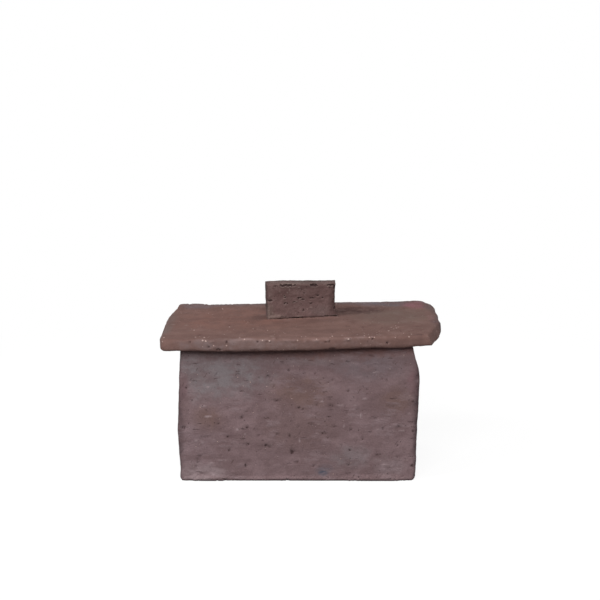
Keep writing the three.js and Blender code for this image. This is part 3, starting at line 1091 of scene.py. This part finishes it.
press(
    knob,
    [
        on_knob(-17.4, 191.8, 9, 1.5, 2.4), on_knob(-28, 191.2, 5, 1.0, 1.0),
        on_knob(-7.5, 191.8, 3.5, 1.0, 1.4), on_knob(12, 191.3, 5.0, 1.9, 3.2),
        on_knob(30, 191.2, 4.5, 1.2, 2.4), on_knob(34.5, 189.2, 1.6, 2.8, 2.0),
        on_knob(-19.1, 181, 1.3, 1.0, 1.4), on_knob(-18, 178.8, 1.2, 1.1, 1.4),
        on_knob(-18.6, 172.4, 1.3, 1.1, 1.4), on_knob(-8.4, 173.6, 2.0, 0.8, 1.0),
        on_knob(-2.5, 177.8, 2.6, 0.9, 1.2), on_knob(0.5, 176.2, 2.0, 0.9, 1.1),
        on_knob(10.4, 177.4, 3.6, 0.9, 1.2), on_knob(16.8, 180.4, 1.8, 1.0, 1.5),
        on_knob(21.9, 177.4, 1.3, 1.0, 1.1), on_knob(1.3, 164.6, 1.4, 1.2, 1.2),
        on_knob(9.1, 171.3, 1.4, 0.8, 1.0), on_knob(-35.1, 175.7, 3.6, 1.2, 1.5),
        on_knob(-5.7, 156.2, 9, 0.9, 2.0), on_knob(27, 156.9, 3.5, 0.9, 2.0),
        on_knob(34.5, 156.8, 3.5, 0.9, 2.0), on_knob(34.5, 175.5, 1.3, 2.4, 1.2),
        on_knob(34.5, 166, 1.3, 2.6, 1.2), on_knob(34.5, 182, 1.2, 1.4, 1.0),
    ],
    "Y",
    way=1,
    ragged=0.6,
    dark_depth=1.4,
)
find_wear(knob, flat=0.05, proud=0.3)
finish(knob, "lid", knob_clay, "lid_knob")


# Grains of grog that stand proud of the clay

LIP_GRAINS = [
    (-76, 147.5), (-33, 152.5), (-97, 152), (-100, 152.5), (-89, 154.5), (-140, 153),
    (-141, 150), (-89, 147.5), (107, 155.5), (-5, 153), (46, 154), (-40, 153),
    (67, 155.5), (72, 155.5), (-58, 154), (14, 154), (93, 155),
]
TOP_GRAINS = [
    (-51, -44), (-36, -50), (30, -84), (-112, -46), (97, -40), (97, -50),
    (94, -54), (-76, -34), (75, -80), (-104, -73), (-108, -78), (92, -46), (99, -46),
    (88, -62), (-99, -80), (62, -84), (-63, -85), (110, -78),
]
BACKWARDS, FORWARDS = (0, 1, 0), (0, -1, 0)
RIGHTWARDS, LEFTWARDS = (1, 0, 0), (-1, 0, 0)
DOWN = (0, 0, -1)
grain_chance = random.Random(5)
between = grain_chance.uniform

lid_casts = [(lid, (x, -120, z), BACKWARDS, between(0.7, 1.2)) for x, z in LIP_GRAINS]
lid_casts += [(lid, (x, y, 200), DOWN, between(0.7, 1.2)) for x, y in TOP_GRAINS]
for _ in range(40):
    spot = (between(-140, 138), between(-88, 88), 200)
    lid_casts.append((lid, spot, DOWN, between(0.3, 0.6)))
for _ in range(16):
    spot = (between(-135, 118), between(-88, -60), 200)
    lid_casts.append((lid, spot, DOWN, between(0.3, 0.7)))
for _ in range(8):
    spot = (between(-36, 34), -60, between(158, 190))
    lid_casts.append((knob, spot, BACKWARDS, between(0.25, 0.45)))
for _ in range(20):
    spot = (between(-140, 120), 140, between(144, 155))
    lid_casts.append((lid, spot, FORWARDS, between(0.35, 0.8)))
finish(sow_grains("lid_grog", lid_casts), "lid", grog_clay)

# Each wall gets its grains from its own side: how far off they start, and which way they go
wall_casts = []
for name, off, direction in (
    ("front_wall", -120, BACKWARDS),
    ("back_wall", 120, FORWARDS),
    ("left_wall", -200, RIGHTWARDS),
    ("right_wall", 200, LEFTWARDS),
):
    for _ in range(34):
        along, z = between(-118, 108), between(4, 134)
        spot = (off, 0.5 * along, z) if name in ("left_wall", "right_wall") else (along, off, z)
        wall_casts.append((walls[name], spot, direction, between(0.3, 0.7)))
finish(sow_grains("box_grog", wall_casts), "box", grog_clay)

for helper in (along_walls, along_lid, dragged):
    bpy.data.objects.remove(helper)


# Studio

WHITE = (1, 1, 1, 1)


def make_floor():
    """A pale floor that keeps the object's shadow near it and is plain white further off."""
    bpy.ops.object.select_all(action="DESELECT")
    bpy.ops.mesh.primitive_circle_add(vertices=96, radius=6, fill_type="NGON")
    floor = bpy.context.view_layer.objects.active
    floor.name = "studio_floor"
    material = bpy.data.materials.new("studio_floor")
    material.use_nodes = True
    tree = material.node_tree
    tree.nodes.clear()
    place = node(tree, "ShaderNodeTexCoord").outputs["Object"]

    # Grey paper throws its light on the object. The camera sees it brighter, and white far off.
    paper = node(tree, "ShaderNodeBsdfDiffuse", {"Color": (0.22, 0.22, 0.22, 1)})
    shadowed = node(tree, "ShaderNodeBsdfDiffuse", {"Color": (0.16, 0.16, 0.16, 1)})
    glow = node(tree, "ShaderNodeEmission", {"Color": WHITE, "Strength": 0.88})
    lit = node(tree, "ShaderNodeAddShader", {0: shadowed.outputs[0], 1: glow.outputs[0]})
    white = node(tree, "ShaderNodeEmission", {"Color": WHITE, "Strength": 1.0})
    far = span(tree, vector_maths(tree, "LENGTH", place), 0.3, 0.75)
    seen = node(tree, "ShaderNodeMixShader", {0: far, 1: lit.outputs[0], 2: white.outputs[0]})
    path = node(tree, "ShaderNodeLightPath")
    ray = maths(tree, "MAXIMUM", path.outputs["Is Camera Ray"], path.outputs["Is Glossy Ray"])
    surface = node(tree, "ShaderNodeMixShader", {0: ray, 1: paper.outputs[0], 2: seen.outputs[0]})
    node(tree, "ShaderNodeOutputMaterial", {"Surface": surface.outputs[0]})
    floor.data.materials.append(material)


def make_world():
    """Faint light from everywhere, and plain white behind the object."""
    world = bpy.data.worlds.new("studio")
    bpy.context.scene.world = world
    world.use_nodes = True
    tree = world.node_tree
    tree.nodes.clear()
    light = node(tree, "ShaderNodeBackground", {"Color": WHITE, "Strength": 0.08})
    white = node(tree, "ShaderNodeBackground", {"Color": WHITE, "Strength": 1.0})
    path = node(tree, "ShaderNodeLightPath")
    seen = maths(tree, "MAXIMUM", path.outputs["Is Camera Ray"], path.outputs["Is Glossy Ray"])
    mixed = node(tree, "ShaderNodeMixShader", {0: seen, 1: light.outputs[0], 2: white.outputs[0]})
    node(tree, "ShaderNodeOutputWorld", {"Surface": mixed.outputs[0]})


def add_softbox(name, to_left, height, size, strength):
    """A softbox two metres off. Angles are in degrees from the front and from the floor, and a
    strength of 1 shows a colour as it is written on a surface that faces it."""
    distance, target = 2.0, Vector((0, 0, 0.1))
    side, rise = math.radians(to_left), math.radians(height)
    flat = math.cos(rise)
    away = Vector((-math.sin(side) * flat, -math.cos(side) * flat, math.sin(rise)))
    bpy.ops.object.light_add(type="AREA", location=target + distance * away)
    lamp = bpy.context.view_layer.objects.active
    lamp.name = name
    lamp.data.shape = "RECTANGLE"
    lamp.data.size, lamp.data.size_y = size
    lamp.data.energy = strength * (math.pi * distance) ** 2
    lamp.rotation_euler = (-away).to_track_quat("-Z", "Y").to_euler()


def add_camera():
    """The camera that was fitted to the photograph."""
    bpy.ops.object.camera_add(location=CAMERA_PLACE)
    camera = bpy.context.view_layer.objects.active
    camera.rotation_euler = (math.pi / 2 - CAMERA_PITCH, 0, 0)
    camera.data.sensor_width = SENSOR_WIDTH
    camera.data.lens = FOCAL_PIXELS * SENSOR_WIDTH / IMAGE_SIZE
    bpy.context.scene.camera = camera


make_floor()
make_world()
add_softbox("front_softbox", 6, 32, (1.5, 0.8), 0.86)
add_softbox("left_softbox", 62, 42, (0.7, 0.7), 0.44)
add_softbox("rear_left_softbox", 148, 18, (0.9, 0.8), 0.25)
add_softbox("rear_right_softbox", -148, 18, (0.9, 0.8), 0.25)
add_softbox("right_softbox", -96, 20, (0.8, 0.6), 0.26)
add_camera()

bpy.context.scene.view_settings.view_transform = "Standard"
